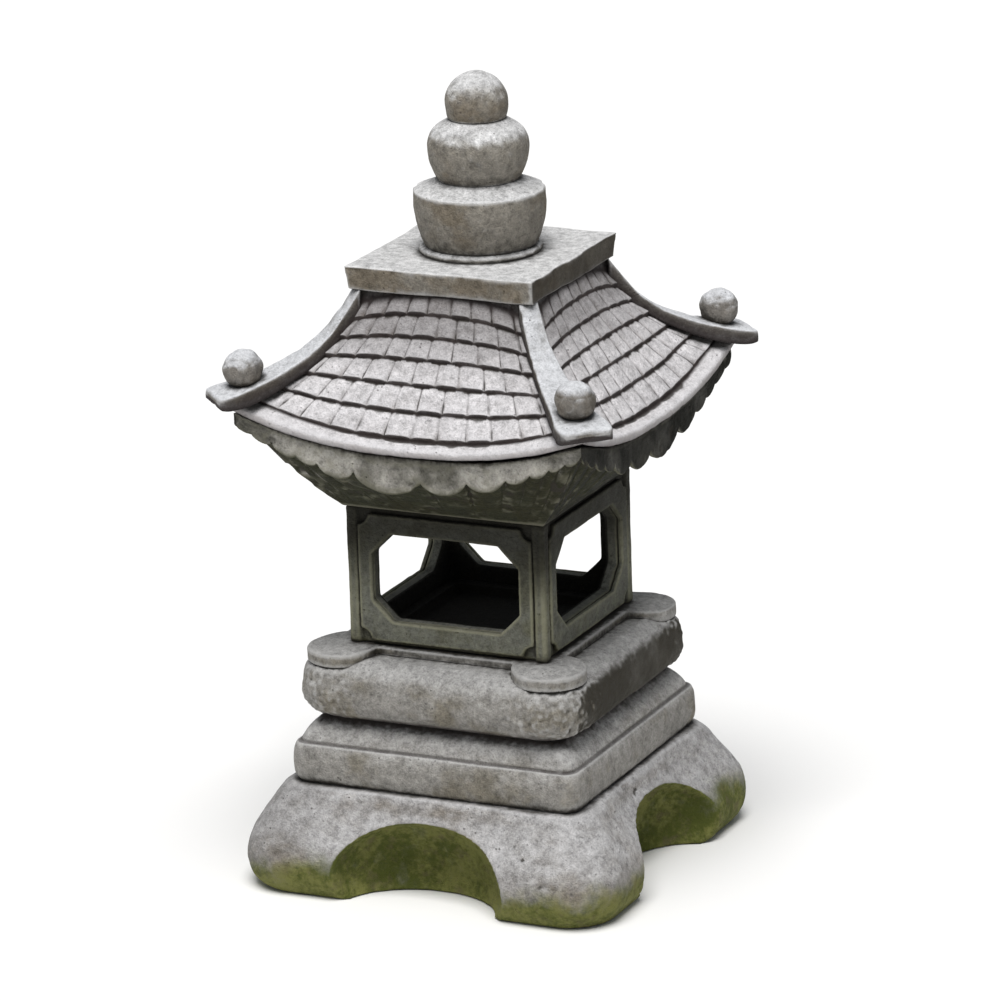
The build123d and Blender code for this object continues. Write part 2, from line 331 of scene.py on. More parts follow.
def spread(piece, values, passes):
    """Averages a value over neighbouring points."""
    ends = edge_ends(piece)
    around = np.bincount(ends.ravel(), minlength=len(values)).clip(min=1)
    for _ in range(passes):
        total = np.bincount(ends[:, 0], weights=values[ends[:, 1]], minlength=len(values))
        total += np.bincount(ends[:, 1], weights=values[ends[:, 0]], minlength=len(values))
        values = 0.5 * values + 0.5 * total / around
    return values


def edge_ends(piece):
    ends = np.zeros(len(piece.data.edges) * 2, np.int32)
    piece.data.edges.foreach_get("vertices", ends)
    return ends.reshape(-1, 2)


def paint_side_shade(piece, strength):
    """Painted shade: upright faces turned toward +X, less so where they also turn to the front, are darkened in
    patches, standing in for the shade on that side.
    """
    outward = normals(piece)
    facing = ramp(outward[:, 0] + 0.8 * np.minimum(outward[:, 1], 0.0) - 0.15 * outward[:, 2], 0.42, 0.86)
    patchy = 0.9 + 0.2 * layered(coordinates(piece), 0.016, 3, 301)
    store(piece, "painted_shade", np.clip(strength * facing * patchy, 0.0, 1.0))


def finish_piece(piece, body, nodes, material, painted_shade=0.3):
    paint_side_shade(piece, painted_shade)
    piece.data.materials.clear()
    piece.data.materials.append(material)
    piece.data.shade_smooth()
    BUILT.append(piece)
    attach(piece, body)
    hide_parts(*nodes)


BUILT = []


# ---------------------------------------------------------------- stone material

class Net:
    """Small helper for building a node tree."""

    def __init__(self, name):
        self.material = bpy.data.materials.new(name)
        self.material.use_nodes = True
        self.tree = self.material.node_tree
        self.shader = self.tree.nodes["Principled BSDF"]

    def link(self, source, target):
        self.tree.links.new(source, target)

    def add(self, kind, **settings):
        node = self.tree.nodes.new(kind)
        for key, value in settings.items():
            setattr(node, key, value)
        return node

    def maths(self, operation, first, second=None, clamp=False):
        node = self.add("ShaderNodeMath", operation=operation, use_clamp=clamp)
        for socket, value in zip(node.inputs, (first, second)):
            if value is None:
                continue
            if isinstance(value, (int, float)):
                socket.default_value = value
            else:
                self.link(value, socket)
        return node.outputs[0]

    def noise(self, vector, scale, detail=4.0, rough=0.55):
        node = self.add("ShaderNodeTexNoise")
        self.link(vector, node.inputs["Vector"])
        node.inputs["Scale"].default_value = scale
        node.inputs["Detail"].default_value = detail
        node.inputs["Roughness"].default_value = rough
        return node.outputs["Fac"]

    def cells(self, vector, scale):
        node = self.add("ShaderNodeTexVoronoi")
        self.link(vector, node.inputs["Vector"])
        node.inputs["Scale"].default_value = scale
        return node.outputs["Distance"]

    def span(self, value, low, high):
        node = self.add("ShaderNodeMapRange", interpolation_type="SMOOTHSTEP")
        self.link(value, node.inputs["Value"])
        node.inputs["From Min"].default_value = low
        node.inputs["From Max"].default_value = high
        return node.outputs["Result"]

    def mix(self, factor, first, second, mode="MIX"):
        node = self.add("ShaderNodeMix", data_type="RGBA", blend_type=mode)
        for socket, value in ((node.inputs[0], factor), (node.inputs[6], first), (node.inputs[7], second)):
            if isinstance(value, tuple):
                socket.default_value = (*value, 1.0)
            elif isinstance(value, (int, float)):
                socket.default_value = value
            else:
                self.link(value, socket)
        return node.outputs[2]


MOSS = (0.075, 0.088, 0.016)
MOSS_LIGHT = (0.175, 0.178, 0.052)
MOSS_BROWN = (0.125, 0.105, 0.060)
DIRT_AND_SHADE_COLOUR = (0.030, 0.026, 0.019)
CHAMBER_SHADE_COLOUR = (0.012, 0.011, 0.008)


CARRIED = ("hollow", "open", "moss", "chamber_shade", "seam_and_shade", "painted_shade")
SEAM_AND_SHADE_COLOUR = (0.028, 0.021, 0.020)


def scaled(colour, share):
    return tuple(min(1.0, share * channel) for channel in colour)


def stone_material(name, light, body, brown, dirt_and_shade=1.0, wash_and_top_light=(0.0, 0.95), mottle=(0.30, 0.30, 0.22), edge=0.5, edge_wear_and_highlight=None, lichen=0.0):
    """Weathered cast stone. Faces turned to the sky get the pale colour, partly rain-washing and partly painted light;
    brown stains in patches, stronger on faces turned away from the sky and partly a painted shade tint; hollows dark
    with dirt and painted shade, sheltered places dark with painted shade.
    The points carry how hollow and how open they are, how much moss they hold, and painted shade inside the chamber,
    along seams and on the shaded side."""
    net = Net(name)
    coordinate = net.add("ShaderNodeTexCoord").outputs["Object"]
    surface = net.add("ShaderNodeNewGeometry")
    facing = net.add("ShaderNodeSeparateXYZ")
    net.link(surface.outputs["Normal"], facing.inputs[0])
    upward = facing.outputs["Z"]
    carried = {key: net.add("ShaderNodeAttribute", attribute_name=key).outputs["Fac"] for key in CARRIED}

    broad = net.noise(coordinate, 26.0, 4.0, 0.6)
    patch = net.noise(coordinate, 90.0, 5.0, 0.65)
    grain = net.noise(coordinate, 260.0, 4.0, 0.65)
    speck = net.noise(coordinate, 900.0, 3.0, 0.6)
    pit = net.cells(coordinate, 300.0)

    def swing(value, amount):
        return net.maths("MULTIPLY", net.maths("SUBTRACT", value, 0.5), 2.0 * amount)

    # Faces turned to the sky get the pale colour and the rest the darker body colour: partly rain-washing, partly
    # painted light and shade.
    washed_and_lit = net.span(net.maths("ADD", upward, swing(patch, 0.45)), *wash_and_top_light)
    colour = net.mix(washed_and_lit, body, light)
    # Brown stains in patches, stronger on faces turned away from the sky, partly a painted shade tint.
    stain_and_shade_tint = net.maths("MULTIPLY", net.span(broad, 0.46, 0.62), net.span(upward, 0.85, -0.15))
    colour = net.mix(net.maths("MULTIPLY", stain_and_shade_tint, 0.75), colour, brown)
    tone = net.maths("ADD", swing(patch, 2.0 * mottle[0]), swing(grain, 2.4 * mottle[1]))
    tone = net.maths("ADD", tone, swing(speck, 2.4 * mottle[2]))
    colour = net.mix(1.0, colour, net.maths("ADD", tone, 1.0), "MULTIPLY")
    # Proud edges are lightened toward the edge colour: partly worn arrises, partly a painted highlight.
    proud_wear_and_highlight = net.span(net.maths("MULTIPLY", carried["hollow"], -1.0), 0.03, 0.40)
    colour = net.mix(net.maths("MULTIPLY", proud_wear_and_highlight, edge), colour, edge_wear_and_highlight or scaled(light, 1.3))
    # Painted shade on the shaded side, mixed toward a dark brown.
    colour = net.mix(carried["painted_shade"], colour, scaled(brown, 0.22))
    pitted = net.maths("MULTIPLY", net.span(pit, 0.24, 0.08), net.span(patch, 0.50, 0.66))
    colour = net.mix(net.maths("MULTIPLY", pitted, 0.6), colour, scaled(brown, 0.35))
    # Hollows are darkened: partly dirt, partly painted shade.
    hollow_dirt_and_shade = net.span(net.maths("ADD", carried["hollow"], swing(patch, 0.10)), 0.05, 0.50)
    colour = net.mix(net.maths("MULTIPLY", hollow_dirt_and_shade, 0.85 * min(1.0, dirt_and_shade)), colour, DIRT_AND_SHADE_COLOUR)
    # Painted shade: points that the ray casts find sheltered are darkened toward the dark colour.
    sheltered_shade = net.span(net.maths("ADD", carried["open"], swing(patch, 0.16)), 0.86, 0.38)
    colour = net.mix(net.maths("MULTIPLY", sheltered_shade, min(1.0, 0.8 * dirt_and_shade)), colour, DIRT_AND_SHADE_COLOUR)
    # Dark seams, and painted shade stored in the same value.
    seamed = net.span(net.maths("ADD", carried["seam_and_shade"], swing(grain, 0.25)), 0.10, 0.90)
    colour = net.mix(net.maths("MULTIPLY", seamed, 0.95), colour, SEAM_AND_SHADE_COLOUR)
    if lichen:
        film = net.maths("MULTIPLY", net.span(patch, 0.44, 0.60), net.span(upward, 0.35, -0.35))
        colour = net.mix(net.maths("MULTIPLY", film, lichen), colour, scaled(MOSS_LIGHT, 0.7))
    tint = net.mix(net.span(net.maths("ADD", grain, swing(broad, 0.8)), 0.30, 0.72), MOSS, MOSS_LIGHT)
    tint = net.mix(net.maths("MULTIPLY", net.span(patch, 0.50, 0.72), 0.55), tint, MOSS_BROWN)
    # Painted shade: moss is darker where it is sheltered.
    tint = net.mix(1.0, tint, net.maths("ADD", net.maths("MULTIPLY", carried["open"], 0.95), 0.10), "MULTIPLY")
    growth = net.span(net.maths("ADD", carried["moss"], swing(patch, 0.55)), 0.15, 0.95)
    colour = net.mix(growth, colour, tint)
    # Painted shade: the inside of the light chamber and the top of the chamber under the eave go near black.
    black = net.span(net.maths("ADD", carried["chamber_shade"], swing(patch, 0.12)), 0.25, 0.85)
    colour = net.mix(net.maths("MULTIPLY", black, 0.97), colour, CHAMBER_SHADE_COLOUR)
    net.link(colour, net.shader.inputs["Base Color"])

    rough = net.add("ShaderNodeMapRange")
    net.link(patch, rough.inputs["Value"])
    rough.inputs["To Min"].default_value = 0.78
    rough.inputs["To Max"].default_value = 0.97
    net.link(rough.outputs["Result"], net.shader.inputs["Roughness"])
    net.shader.inputs["Specular IOR Level"].default_value = 0.25

    rise = net.maths("MULTIPLY", grain, 1.5)
    rise = net.maths("ADD", rise, net.maths("MULTIPLY", speck, 0.7))
    rise = net.maths("ADD", rise, net.maths("MULTIPLY", patch, 1.2))
    rise = net.maths("SUBTRACT", rise, net.maths("MULTIPLY", pitted, 0.9))
    bump = net.add("ShaderNodeBump")
    bump.inputs["Strength"].default_value = 0.85
    bump.inputs["Distance"].default_value = 0.0013
    net.link(rise, bump.inputs["Height"])
    net.link(bump.outputs["Normal"], net.shader.inputs["Normal"])
    return net.material


FOOT = stone_material(
    "foot_stone", (0.41, 0.405, 0.41), (0.27, 0.255, 0.24), (0.185, 0.155, 0.115), wash_and_top_light=(-0.05, 0.80), mottle=(0.24, 0.30, 0.24), edge=0.3,
)
COURSE = stone_material(
    "course_stone", (0.41, 0.405, 0.40), (0.265, 0.254, 0.234), (0.170, 0.150, 0.110), dirt_and_shade=1.15, mottle=(0.24, 0.30, 0.24), edge=0.5,
)
CHAMBER = stone_material(
    "chamber_stone", (0.23, 0.23, 0.20), (0.165, 0.167, 0.138), (0.095, 0.092, 0.058), dirt_and_shade=1.0, edge=0.55,
    edge_wear_and_highlight=(0.35, 0.34, 0.23), lichen=0.2,
)
SOFFIT = stone_material(
    "soffit_stone", (0.38, 0.365, 0.33), (0.024, 0.025, 0.012), (0.022, 0.021, 0.008), dirt_and_shade=1.1, wash_and_top_light=(-0.60, -0.1), edge=0.4,
    edge_wear_and_highlight=(0.24, 0.23, 0.17),
)
TILE = stone_material(
    "tile_stone", (0.60, 0.585, 0.60), (0.35, 0.32, 0.305), (0.20, 0.16, 0.14), dirt_and_shade=1.1, wash_and_top_light=(-0.1, 0.7),
    mottle=(0.24, 0.26, 0.22), edge=0.45, edge_wear_and_highlight=(0.66, 0.65, 0.67),
)
RIDGE = stone_material(
    "ridge_stone", (0.58, 0.59, 0.615), (0.20, 0.185, 0.165), (0.135, 0.115, 0.09), wash_and_top_light=(0.1, 0.80), mottle=(0.16, 0.20, 0.18), edge=0.3,
)
CAP = stone_material(
    "cap_stone", (0.56, 0.56, 0.565), (0.225, 0.208, 0.178), (0.150, 0.122, 0.085), wash_and_top_light=(0.15, 0.80), mottle=(0.26, 0.32, 0.26), edge=0.4,
)


def steel_material():
    """Drawn stainless bar with fine lengthwise lines."""
    net = Net("steel_pin")
    coordinate = net.add("ShaderNodeTexCoord").outputs["Object"]
    stretch = net.add("ShaderNodeMapping")
    stretch.inputs["Scale"].default_value = (1.0, 1.0, 0.02)
    net.link(coordinate, stretch.inputs["Vector"])
    lines = net.noise(stretch.outputs[0], 3000.0, 3.0)
    colour = net.mix(lines, (0.42, 0.42, 0.43), (0.66, 0.66, 0.67))
    net.link(colour, net.shader.inputs["Base Color"])
    net.shader.inputs["Metallic"].default_value = 1.0
    net.link(net.span(lines, -0.5, 2.2), net.shader.inputs["Roughness"])
    return net.material


STEEL = steel_material()


# ---------------------------------------------------------------- plain courses

def joint_mask(points, node, depth):
    """0 on the flat top and bottom beds, 1 away from them, so stones still meet."""
    low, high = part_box(node)
    gap = np.minimum(points[:, 2] - low.z, high.z - points[:, 2]) / MM
    return ramp(gap, 0.2, depth)


def wobble(points, seed, broad=0.9, middle=0.35, fine=0.16):
    """Uneven hand-finished surface, in millimetres."""
    amount = broad * layered(points, 0.055, 2, seed)
    amount += middle * layered(points, 0.014, 2, seed + 5)
    amount += fine * layered(points, 0.0045, 2, seed + 9)
    return amount


def chips(points, size, seed, depth):
    """Scattered shallow dents, in millimetres."""
    return -depth * ramp(0.42 - cells(points, size, seed), 0.0, 0.3)


NICHE_HALF = 54.0
NICHE_WAIST = 16.0
NICHE_RISE = 34.0
NICHE_DEPTH = 44.0
NICHE_CENTRE = 122.0


def niche_nearness(points):
    """For each point, how far out it lies in the nearest niche scoop: 1 on the scoop itself."""
    x, y, z = (points / MM).T
    nearest = np.full(len(points), 9.0)
    for out, across in ((-y, x), (x, y), (y, x), (-x, y)):
        size = (across / NICHE_HALF) ** 2 + ((out - NICHE_CENTRE) / NICHE_DEPTH) ** 2 + ((z - NICHE_WAIST) / NICHE_RISE) ** 2
        nearest = np.where(np.abs(size - 1.0) < np.abs(nearest - 1.0), size, nearest)
    return nearest


def settle(piece, mask, passes):
    """Relaxes the surface where the mask is 1, which rounds its edges over."""
    points = coordinates(piece)
    smooth = np.stack([spread(piece, points[:, axis], passes) for axis in range(3)], axis=1)
    set_coordinates(piece, points + (smooth - points) * mask[:, None])


def hollow_faces(points):
    """The slight inward curve of the foot's faces between its rounded feet."""
    for axis in (0, 1):
        across = np.abs(points[:, 1 - axis])
        out = np.abs(points[:, axis])
        lift = points[:, 2] / MM
        hollow = 7.0 * (1.0 - ramp(across, 0.030, 0.088)) * ramp(lift, 18.0, 45.0) * (1.0 - 0.5 * ramp(lift, 52.0, 63.0))
        points[:, axis] -= np.sign(points[:, axis]) * hollow * MM * ramp(out, 0.070, 0.100)
    return points


SHOULDER_DULL = 0.30


def base_stone():
    piece = stone_from_cad("base_stone", 1.45, 3)
    points = coordinates(piece)
    scoop = niche_nearness(points)
    inside = ramp(np.abs(scoop - 1.0), 0.10, 0.03) * ramp(points[:, 2], 0.0535, 0.0500)
    rim = ramp(scoop, 1.20, 1.02) * ramp(scoop, 0.80, 0.96)
    settle(piece, rim * (1.0 - 0.6 * ramp(points[:, 2], 0.026, 0.046)), 18)
    set_coordinates(piece, hollow_faces(coordinates(piece)))
    points = coordinates(piece)
    mask = joint_mask(points, "base_stone", 3.0)
    crumbly = ramp(noise(points, 0.035, 41), -0.1, 0.6)
    squashed = points * np.array([1.0, 1.0, 1.7])
    flaked = -1.0 * ramp(layered(squashed, 0.0075, 2, 43), 0.30, 0.75)
    amount = wobble(points, 3, 1.2, 0.65, 0.32) + (0.25 + crumbly) * flaked
    push(piece, mask * (amount - 0.4))
    keep_in_box(piece, "base_stone")
    damp_foot = 0.010 * ramp(points[:, 0], 0.06, 0.12) * ramp(points[:, 1], -0.02, 0.06)
    low = ramp(points[:, 2] - damp_foot - 0.012 * layered(points, 0.035, 3, 45), 0.036, 0.004)
    store(piece, "moss", np.maximum(1.05 * low, 0.95 * inside))
    relief(piece)
    finish_piece(piece, "base", ["base_stone"], FOOT, 0.0)
    # Painted shade: the lower part of the foot's left side is darkened through the painted-shade value.
    shoulder = ramp(-points[:, 0] + 0.010 * layered(points, 0.025, 2, 47), 0.050, 0.100) * ramp(points[:, 2], 0.010, 0.035)
    raise_value(piece, "painted_shade", SHOULDER_DULL * shoulder)


PLINTH_LINE = 88.6
UNDERCUT_SHADE = 0.62


def plinth_stone():
    piece = stone_from_cad("plinth_stone", 1.05, 2)
    points = coordinates(piece)
    mask = joint_mask(points, "plinth_stone", 2.5)
    line = ramp(np.abs(points[:, 2] / MM - PLINTH_LINE - 0.35 * noise(points, 0.03, 13)), 1.2, 0.3)
    amount = mask * (wobble(points, 11, 0.7, 0.28, 0.16) + chips(points, 0.02, 44, 0.3) - 0.3)
    push(piece, amount - 0.6 * line)
    # The incised line is darkened.
    line_darkening = 0.55 * ramp(np.abs(points[:, 2] / MM - PLINTH_LINE - 0.3), 1.6, 0.4)
    # Painted shadow: the plinth's top is darkened under the cushion's undercut.
    undercut = UNDERCUT_SHADE * ramp(points[:, 2], 0.0975, 0.1025)
    store(piece, "seam_and_shade", np.maximum(line_darkening, undercut))
    keep_in_box(piece, "plinth_stone")
    relief(piece)
    finish_piece(piece, "base", ["plinth_stone"], COURSE, 0.0)


def platform_stone():
    piece = stone_from_cad("platform_stone", 1.0, 2)
    points = coordinates(piece)
    mask = joint_mask(points, "platform_stone", 2.5)
    corner = 0.25 + 0.75 * ramp(np.minimum(np.abs(points[:, 0]), np.abs(points[:, 1])), 0.038, 0.070)
    picked = 0.7 * noise(points, 0.0040, 21) + 0.5 * noise(points, 0.0026, 23) + 0.7 * (0.5 - cells(points, 0.0040, 25))
    amount = wobble(points, 19, 0.8, 0.3, 0.18) + corner * picked * 0.90 - 0.45
    push(piece, mask * amount)
    keep_in_box(piece, "platform_stone")
    # Painted shadow along the cushion's bottom bed, above the plinth.
    store(piece, "seam_and_shade", UNDERCUT_SHADE * ramp(points[:, 2], 0.1110, 0.1045))
    relief(piece)
    finish_piece(piece, "base", ["platform_stone"], COURSE, 1.04)


def paint_chamber_shade(piece, inner, top=0.0):
    """Painted shade: near black inside the light chamber, and a painted shadow darkening the outside toward the top,
    under the eave.
    """
    points = coordinates(piece)
    out = np.maximum(np.abs(points[:, 0]), np.abs(points[:, 1])) / MM
    # Painted shadow under the eave, stronger toward the top.
    film = top * ramp(points[:, 2] + 0.006 * layered(points, 0.030, 2, 311), 0.135, 0.226)
    store(piece, "chamber_shade", np.maximum(ramp(out, inner + 2.5, inner), film))


LOBE_DROOP = 4.5


def seat_plate():
    piece = stone_from_cad("seat_plate", 0.9, 1)
    points = coordinates(piece)
    beyond = np.maximum(np.hypot(np.clip(np.abs(points[:, 0]), 0.059, None) - 0.059, np.clip(np.abs(points[:, 1]), 0.059, None) - 0.059), 0.0)
    low = ramp(points[:, 2], 0.1440, 0.1412)
    points[:, 2] -= LOBE_DROOP * MM * ramp(beyond, 0.017, 0.029) * (0.35 + 0.65 * low)
    set_coordinates(piece, points)
    amount = joint_mask(points, "seat_plate", 1.2) * wobble(points, 27, 0.9, 0.5, 0.15)
    push(piece, amount)
    relief(piece)
    paint_chamber_shade(piece, 55.0)
    finish_piece(piece, "base", ["seat_plate"], COURSE)


# ---------------------------------------------------------------- fire box

def fire_box():
    piece = stone_from_cad("fire_box", 1.2, 2)
    points = coordinates(piece)
    push(piece, joint_mask(points, "fire_box", 2.0) * wobble(points, 33, 0.5, 0.3, 0.12))
    keep_in_box(piece, "fire_box")
    relief(piece)
    paint_chamber_shade(piece, 54.5, 0.78)
    finish_piece(piece, "lamp", ["fire_box"], CHAMBER)


def window_surrounds():
    for order, side in enumerate(("front", "right", "back", "left")):
        node = "window_surround_" + side
        piece = stone_from_cad(node, 0.85, 2)
        points = coordinates(piece)
        push(piece, wobble(points, 50 + 3 * order, 0.35, 0.25, 0.12))
        keep_in_box(piece, node)
        relief(piece)
        paint_chamber_shade(piece, 0.0, 0.70)
        finish_piece(piece, "lamp", [node], CHAMBER)


# ---------------------------------------------------------------- roof

NECK = 56.0
ROOF_TOP = 365.0
CAVITY_TOP = 345.0
CAVITY = 44.0
JOINT_LEVEL = 262.0
JOINT_HALF = 90.0
EDGES = [57.0, 62.4, 69.0, 76.8, 85.6, 95.2, 105.0]
MID_Z = [364.0, 354.5, 342.5, 331.0, 318.0, 304.5, 291.0]
HIP_Z = [353.0, 345.0, 335.5, 327.0, 319.5, 313.0, 307.5]
TILES = [9, 10, 10, 11, 12, 12]
BAND_INNER = 105.4
BAND_OUTER = 114.0
BAND_MID = 285.0
BAND_HIP = 304.0
BAND_THICK = 4.5
SWEEP = 2.4
TILE_SQUARENESS = 5.0
TILE_RISE = 1.7
TILE_THICKNESS = 2.3
TILE_NOSE = 1.1
ROOF_STATIONS = 208
ROW_STEPS = 9
UPPER_TILES_SLAB_SHADE = 0.55


def swept(mid, hip, across):
    return mid + (hip - mid) * np.abs(across) ** SWEEP


def tile_backs(across, row, side):
    """Across a row: 0 in a joint to 1 on a tile's back, and each tile's own offset from -1 to 1."""
    count = TILES[row]
    limits = np.arange(count + 1).astype(float)
    limits[1:-1] += 0.12 * lattice(np.arange(count - 1), np.full(count - 1, row), np.full(count - 1, side), 7)
    place = (across + 1.0) / 2.0 * count
    index = np.clip(np.searchsorted(limits, place, side="right") - 1, 0, count - 1)
    share = (place - limits[index]) / (limits[index + 1] - limits[index])
    back = np.clip(1.0 - np.abs(2.0 * share - 1.0) ** TILE_SQUARENESS, 0.0, 1.0) ** 0.8
    offset = lattice(index, np.full(len(index), row + 3), np.full(len(index), side), 11)
    return back, offset


def ring_mesh(name, section, stations):
    """Closed ring of four sides; section(across, side) gives distances, heights and how dark each point is, for seams
    and painted shade.
    """
    loops, seams = [], []
    across = -1.0 + 2.0 * np.arange(stations) / stations
    for side in range(4):
        distance, height, seam_and_shade = section(across, side)
        angle = math.pi / 2 * side
        x = across[:, None] * distance
        y = -distance
        loops.append(np.stack([
            x * math.cos(angle) - y * math.sin(angle),
            x * math.sin(angle) + y * math.cos(angle),
            height,
        ], axis=2))
        seams.append(seam_and_shade)
    grid = np.concatenate(loops, axis=0) * MM
    rows, columns = grid.shape[:2]
    index = np.arange(rows * columns).reshape(rows, columns)
    after = np.roll(index, -1, axis=0)
    right = np.roll(index, -1, axis=1)
    corner = np.roll(after, -1, axis=1)
    faces = np.stack([index, right, corner, after], axis=2).reshape(-1, 4)
    piece = new_object(name, grid.reshape(-1, 3), faces)
    store(piece, "seam_and_shade", np.concatenate(seams, axis=0).ravel())
    return piece


class Section:
    """Collects the points of a cross-section, each for every station across a side."""

    def __init__(self, count):
        self.blank = np.zeros(count)
        self.columns = []

    def put(self, distance, height, seam_and_shade=0.0):
        self.columns.append((self.blank + distance, self.blank + height, self.blank + seam_and_shade))

    def result(self):
        return [np.stack([column[part] for column in self.columns], axis=1) for part in range(3)]


def roof_section(across, side):
    """Stepped courses of round-backed tiles, the eave band, the hollow underside."""
    count = len(across)
    section = Section(count)
    put = section.put
    put(5.2, ROOF_TOP)
    put(40.0, ROOF_TOP)
    put(NECK - 1.0, ROOF_TOP)
    put(NECK, ROOF_TOP - 1.0)
    for row in range(6):
        back, offset = tile_backs(across, row, side + 1)
        top = swept(MID_Z[row], HIP_Z[row], across) - (TILE_THICKNESS if row else 0.0)
        bottom = swept(MID_Z[row + 1], HIP_Z[row + 1], across)
        place = np.stack([across * 14.0, np.full(count, row * 3.1), np.full(count, side * 5.7)], axis=1)
        joint = 0.55 * np.clip(1.0 - back, 0.0, 1.0) ** 1.5
        nose = TILE_NOSE * (back - 0.45) + 0.45 * offset + 0.5 * noise(place, 1.0, 61)
        for share in np.linspace(0.0, 1.0, ROW_STEPS):
            rise = TILE_RISE * (0.30 + 0.70 * share) * (back - 0.72) + 0.3 * offset * share
            reach = EDGES[row] + 0.4 + (EDGES[row + 1] - EDGES[row] - 0.4) * share + nose * share ** 3
            belly = 0.35 * math.sin(math.pi * share)
            # Painted shadow of the cap slab on the top row; dark seams at the top of the other rows.
            if row == 0:
                row_seam_and_slab_shadow = 0.9 * max(0.0, 1.0 - 1.4 * share)
            else:
                row_seam_and_slab_shadow = 0.75 if share == 0.0 else 0.0
            put(reach, top + (bottom - top) * share + rise + belly, joint + row_seam_and_slab_shadow)
        rise = TILE_RISE * (back - 0.72) + 0.3 * offset
        put(EDGES[row + 1] + nose + 0.25, bottom + rise - 0.7, 0.75)
        put(EDGES[row + 1] + nose * 0.6 + 0.1, bottom - TILE_THICKNESS + 0.45 * rise, 1.0)
    band = swept(BAND_MID, BAND_HIP, across)
    put(BAND_INNER + 0.4, band + 3.1, 0.8)
    put(108.2, band + 2.4)
    put(111.0, band + 1.5)
    put(BAND_OUTER - 1.3, band + 0.6)
    put(BAND_OUTER - 0.3, band - 0.2)
    # Painted shade: the band's front face darkens downward and its underside is dark.
    put(BAND_OUTER, band - 1.2, 0.1)
    put(BAND_OUTER, band - BAND_THICK + 1.2, 0.35)
    put(BAND_OUTER - 0.4, band - BAND_THICK + 0.3, 0.6)
    put(BAND_OUTER - 1.4, band - BAND_THICK, 0.9)
    put(BAND_OUTER - 3.0, band - BAND_THICK, 1.0)
    put(104.5, band - BAND_THICK, 1.0)
    put(JOINT_HALF, JOINT_LEVEL)
    put(70.0, JOINT_LEVEL)
    put(CAVITY, JOINT_LEVEL)
    put(CAVITY, 305.0)
    put(CAVITY, CAVITY_TOP)
    put(5.2, CAVITY_TOP)
    return section.result()


def roof_stone():
    piece = ring_mesh("roof_stone_worn", roof_section, ROOF_STATIONS)
    points = coordinates(piece)
    outside = ramp(np.maximum(np.abs(points[:, 0]), np.abs(points[:, 1])), 0.0565, 0.060)
    outside *= ramp(points[:, 2], 0.2625, 0.268)
    amount = wobble(points, 71, 0.45, 0.30, 0.18) + chips(points, 0.011, 75, 0.3)
    push(piece, outside * (amount - 0.1))
    keep_in_box(piece, "roof_stone")
    relief(piece)
    finish_piece(piece, "roof", ["roof_stone"], TILE, 0.2)
    # Painted shadow: the upper tile rows under the cap slab are darkened.
    slab_shade = UPPER_TILES_SLAB_SHADE * ramp(points[:, 2] + 0.004 * layered(points, 0.02, 2, 77), 0.312, 0.352)
    raise_value(piece, "painted_shade", slab_shade)


VALANCE_MID = 109.5
VALANCE_HIP = 112.5
EDGE_MID = 259.0
EDGE_HIP = 285.0
SOFFIT_LEVEL = 231.0
SOFFIT_HALF = 64.7
EAVE_STATIONS = 200
SCALLOP_ENDS = [-1.0, -0.91, -0.80, -0.68, -0.54, -0.33, 0.05, 0.34, 0.55, 0.69, 0.80, 0.91, 1.0]
SCALLOP_DEPTH = 25.0
SOFFIT_SAG = 3.0
SOFFIT_STEPS = 12


def eave_section(across, side):
    """Soffit cove and a scalloped valance set back under the band."""
    count = len(across)
    section = Section(count)
    put = section.put
    ends = np.array(SCALLOP_ENDS) * (1.0 if side % 2 == 0 else -1.0)
    ends.sort()
    inner = np.arange(len(ends) - 2)
    ends[1:-1] += 0.02 * lattice(inner, np.full(len(inner), side), inner * 0, 91)
    index = np.clip(np.searchsorted(ends, across, side="right") - 1, 0, len(ends) - 2)
    width = ends[index + 1] - ends[index]
    share = (across - ends[index]) / width
    lobe = np.clip(1.0 - (2.0 * share - 1.0) ** 2, 0.0, 1.0) ** 0.7
    depth = np.clip(SCALLOP_DEPTH * width, 2.5, 8.5)
    band = swept(BAND_MID, BAND_HIP, across)
    face = swept(VALANCE_MID, VALANCE_HIP, across)
    edge = swept(EDGE_MID, EDGE_HIP, across) + 5.5 - depth * lobe
    top = band - BAND_THICK - 0.8
    put(JOINT_HALF, JOINT_LEVEL)
    # Painted shadow at the top of the valance, under the band.
    put(face - 2.0, top - 1.0, 0.6)
    put(face - 0.4, top - 1.6)
    put(face - 0.2, top * 0.67 + edge * 0.33)
    put(face + 0.0, top * 0.33 + edge * 0.67)
    put(face - 0.1, edge + 1.0)
    put(face - 0.9, edge)
    put(face - 2.4, edge + 0.2)
    put(face - 3.2, edge + 1.2)
    root = np.maximum(swept(EDGE_MID + 4.5, EDGE_HIP + 0.5, across), edge + 1.6)
    put(face - 4.0, root)
    sag = SOFFIT_SAG * np.abs(across) ** 6
    for share_in in np.linspace(0.0, 1.0, SOFFIT_STEPS)[1:-1]:
        reach = (face - 4.0) + (SOFFIT_HALF + 1.0 - face + 4.0) * share_in
        level = root + (SOFFIT_LEVEL + 0.6 - root) * share_in
        put(reach, level - sag * math.sin(math.pi * share_in))
    put(SOFFIT_HALF + 1.0, SOFFIT_LEVEL + 0.6)
    put(SOFFIT_HALF, SOFFIT_LEVEL)
    put(52.4, SOFFIT_LEVEL)
    put(52.4, 222.5)
    put(CAVITY, 222.5)
    put(CAVITY, 240.0)
    put(CAVITY, JOINT_LEVEL)
    put(70.0, JOINT_LEVEL)
    return section.result()


